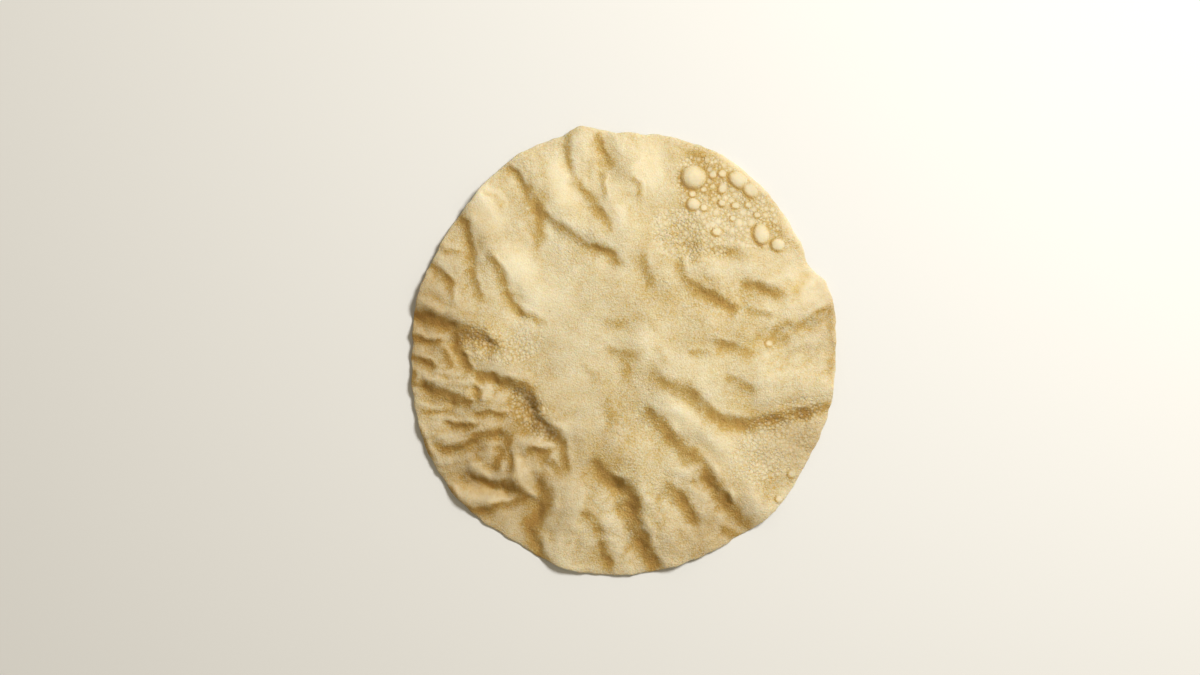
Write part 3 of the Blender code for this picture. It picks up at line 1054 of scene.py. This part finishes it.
# How strongly the grain shows: from pale crumb to amber crumb, amber from cooking and from
# painted shade, where the first two numbers say how amber each of those is, and then the pebbles'
# least strength and what bubbly patches add
AMBER_LEVEL_DRIFT = (-0.25, 0.25)
AMBER_LEVEL_GRAIN = (-0.2, 0.4, 0.6, 1.15)
PEBBLES_LEAST = 0.5
BUBBLY_GAIN = 1.2

# The specks: where each one fades out, in the width of its cell, and the noise at which they start
SPECK_EDGE = (0.06, 0.1)
SPECK_PLACES = (0.58, 0.64)

# The crumb's bumps, and how it takes the light
PEBBLE_BUMP = 0.35 * MM
PEBBLE_BUMP_STRENGTH = 0.8
PEBBLE_EDGE = (0.0, 0.8)        # from a pebble's top to its foot, in the width of its cell
GRAIN_BUMP = 1.1 * MM
GRAIN_BUMP_STRENGTH = 1.0
CRUMB_MATTNESS = (0.6, 0.8)
CRUMB_SHINE = 0.2
GLOW = 0.35
GLOW_COLOURS = (1.0, 0.65, 0.3)
GLOW_DEPTH = 1.5 * MM


def crumb():
    """Dry pale crumb with pale blisters and a few dark specks. Its amber in hollows and on slopes
    turned from the light, and its darker places, are painted shade.
    """
    nodes = Nodes("papadum_crumb")
    mottle = nodes.noise(MOTTLE, detail=5.0, roughness=NOISE_HARSHNESS)
    drift = nodes.noise(DRIFT)
    grain = nodes.noise(GRAIN, roughness=NOISE_HARSHNESS)
    pebbles = nodes.cells(PEBBLES)

    # Grain shows least in smooth and pale places, and most where the crumb is amber, from cooking and
    # from painted shade
    smooth = nodes.math("MAXIMUM", nodes.attribute("smooth"), nodes.attribute("blister"))
    cooked = nodes.math("ADD", nodes.attribute("amber"), nodes.spread(drift, *AMBER_LEVEL_DRIFT))
    rough = nodes.math("SUBTRACT", 1.0, smooth)
    rough = nodes.math("MULTIPLY", rough, nodes.ramp(cooked, *AMBER_LEVEL_GRAIN))
    bubbly = nodes.math("MULTIPLY", nodes.attribute("bubbly"), BUBBLY_GAIN)
    bubbly = nodes.math("ADD", bubbly, PEBBLES_LEAST)
    pebbly = nodes.math("MULTIPLY", rough, bubbly)

    # How amber the crumb is: the shape's own amber, partly painted shade and highlight, mottle, drift,
    # grain and dimples
    amber = nodes.math("MULTIPLY", nodes.attribute("amber"), nodes.spread(mottle, *MOTTLE_PATCHINESS))
    amber = nodes.math("ADD", amber, AMBER_BASE)
    amber = nodes.math("ADD", amber, nodes.spread(mottle, *MOTTLE_AMBER))
    amber = nodes.math("ADD", amber, nodes.spread(drift, *DRIFT_AMBER))
    amber = nodes.math("ADD", amber, nodes.math("MULTIPLY", nodes.spread(grain, *GRAIN_AMBER), rough))
    dimples = nodes.math("MULTIPLY", nodes.ramp(pebbles, *PEBBLE_AMBER), pebbly)
    amber = nodes.math("ADD", amber, dimples)

    colour = nodes.mix(nodes.ramp(amber, 0.0, 1.0), CREAM, GOLD)
    # Deep amber where the painted shade is strongest
    colour = nodes.mix(nodes.ramp(amber, *DEEP_AMBER_RANGE), colour, DEEP_AMBER)
    pale = nodes.math("MULTIPLY", nodes.attribute("blister"), BLISTER_PALENESS)
    colour = nodes.mix(pale, colour, BLISTER_PALE)
    # Painted shade: darker where the light falls off, most at the lower left and near the rim
    colour = nodes.mix(nodes.attribute("painted_shade"), colour, PAINTED_SHADE_TINT, "MULTIPLY")
    specks = nodes.ramp(nodes.cells(SPECKS), *SPECK_EDGE, start=1.0, end=0.0)
    rare = nodes.ramp(nodes.noise(SPECK_AREAS, detail=1.0), *SPECK_PLACES)
    specks = nodes.math("MULTIPLY", nodes.math("MULTIPLY", specks, rare), SPECK_STRENGTH)
    colour = nodes.mix(specks, colour, SPECK)
    nodes.link(colour, nodes.shader.inputs["Base Color"])

    nodes.link(nodes.spread(grain, *CRUMB_MATTNESS), nodes.shader.inputs["Roughness"])
    nodes.shader.inputs["Specular IOR Level"].default_value = CRUMB_SHINE
    nodes.shader.inputs["Subsurface Weight"].default_value = GLOW
    nodes.shader.inputs["Subsurface Radius"].default_value = GLOW_COLOURS
    nodes.shader.inputs["Subsurface Scale"].default_value = GLOW_DEPTH
    pebble_height = nodes.ramp(pebbles, *PEBBLE_EDGE, start=1.0, end=0.0)
    pebble_height = nodes.math("MULTIPLY", pebble_height, pebbly)
    pebble_bump = nodes.bump(pebble_height, PEBBLE_BUMP, PEBBLE_BUMP_STRENGTH)
    finest = nodes.noise(FINEST_GRAIN, roughness=NOISE_HARSHNESS)
    grain_height = nodes.math("MULTIPLY", finest, rough)
    bump = nodes.bump(grain_height, GRAIN_BUMP, GRAIN_BUMP_STRENGTH, pebble_bump)
    nodes.link(bump, nodes.shader.inputs["Normal"])
    return nodes.material


def pale_floor():
    """A wide matt floor for the papadum to lie on."""
    bpy.ops.object.select_all(action="DESELECT")
    bpy.ops.mesh.primitive_plane_add(size=FLOOR_SIZE)
    floor = bpy.context.object
    floor.name = "floor"
    nodes = Nodes("pale_floor")
    nodes.shader.inputs["Base Color"].default_value = (*FLOOR, 1.0)
    nodes.shader.inputs["Roughness"].default_value = FLOOR_MATTNESS
    floor.data.materials.append(nodes.material)


# The lamp: its bearing and height seen from the papadum, distance, size, power and colour
KEY_BEARING = math.radians(42.0)
KEY_HEIGHT = math.radians(54.0)
KEY_DISTANCE = 1.2
KEY_SIZE = 0.33
KEY_ENERGY = 14.15
KEY_COLOUR = (1.0, 0.985, 0.96)

# The light from all round
SKY_COLOUR = (1.0, 0.88, 0.67)
SKY_STRENGTH = 0.325

# The camera's lens and sensor in mm, and the height at which the photograph's scale holds
LENS = 60.0
SENSOR_WIDTH = 36.0
SCALE_HEIGHT = 6.0 * MM
NEAREST_SEEN = 0.01


def aim(obj, spot):
    """Turns a lamp or camera to look at a spot."""
    obj.rotation_euler = (Vector(spot) - obj.location).to_track_quat("-Z", "Y").to_euler()


def lights():
    """A soft lamp at the upper right, and pale warm light from all round."""
    spot = (
        KEY_DISTANCE * math.cos(KEY_BEARING) * math.cos(KEY_HEIGHT),
        KEY_DISTANCE * math.sin(KEY_BEARING) * math.cos(KEY_HEIGHT),
        KEY_DISTANCE * math.sin(KEY_HEIGHT),
    )
    bpy.ops.object.light_add(type="AREA", location=spot)
    key = bpy.context.object
    key.data.shape = "DISK"
    key.data.size = KEY_SIZE
    key.data.energy = KEY_ENERGY
    key.data.color = KEY_COLOUR
    aim(key, (0.0, 0.0, 0.0))
    world = bpy.data.worlds.new("soft_light")
    bpy.context.scene.world = world
    world.use_nodes = True
    background = world.node_tree.nodes["Background"]
    background.inputs["Color"].default_value = (*SKY_COLOUR, 1.0)
    background.inputs["Strength"].default_value = SKY_STRENGTH


def camera():
    """Straight above, framed as the photograph."""
    width = PHOTO_WIDTH * PHOTO_SCALE
    side = (PHOTO_WIDTH / 2 - SHEET_MIDDLE_PIXEL[0]) * PHOTO_SCALE
    up = (SHEET_MIDDLE_PIXEL[1] - PHOTO_HEIGHT / 2) * PHOTO_SCALE
    distance = width * LENS / SENSOR_WIDTH
    spot = (side, up, SCALE_HEIGHT + distance)
    bpy.ops.object.camera_add(location=spot, rotation=(0.0, 0.0, 0.0))
    view = bpy.context.object
    view.data.lens = LENS
    view.data.sensor_width = SENSOR_WIDTH
    view.data.clip_start = NEAREST_SEEN
    bpy.context.scene.camera = view


papadum = make_papadum()
papadum.data.materials.append(crumb())
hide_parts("papadum")
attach(papadum, "root")
pale_floor()
lights()
camera()
bpy.context.scene.view_settings.view_transform = "Standard"
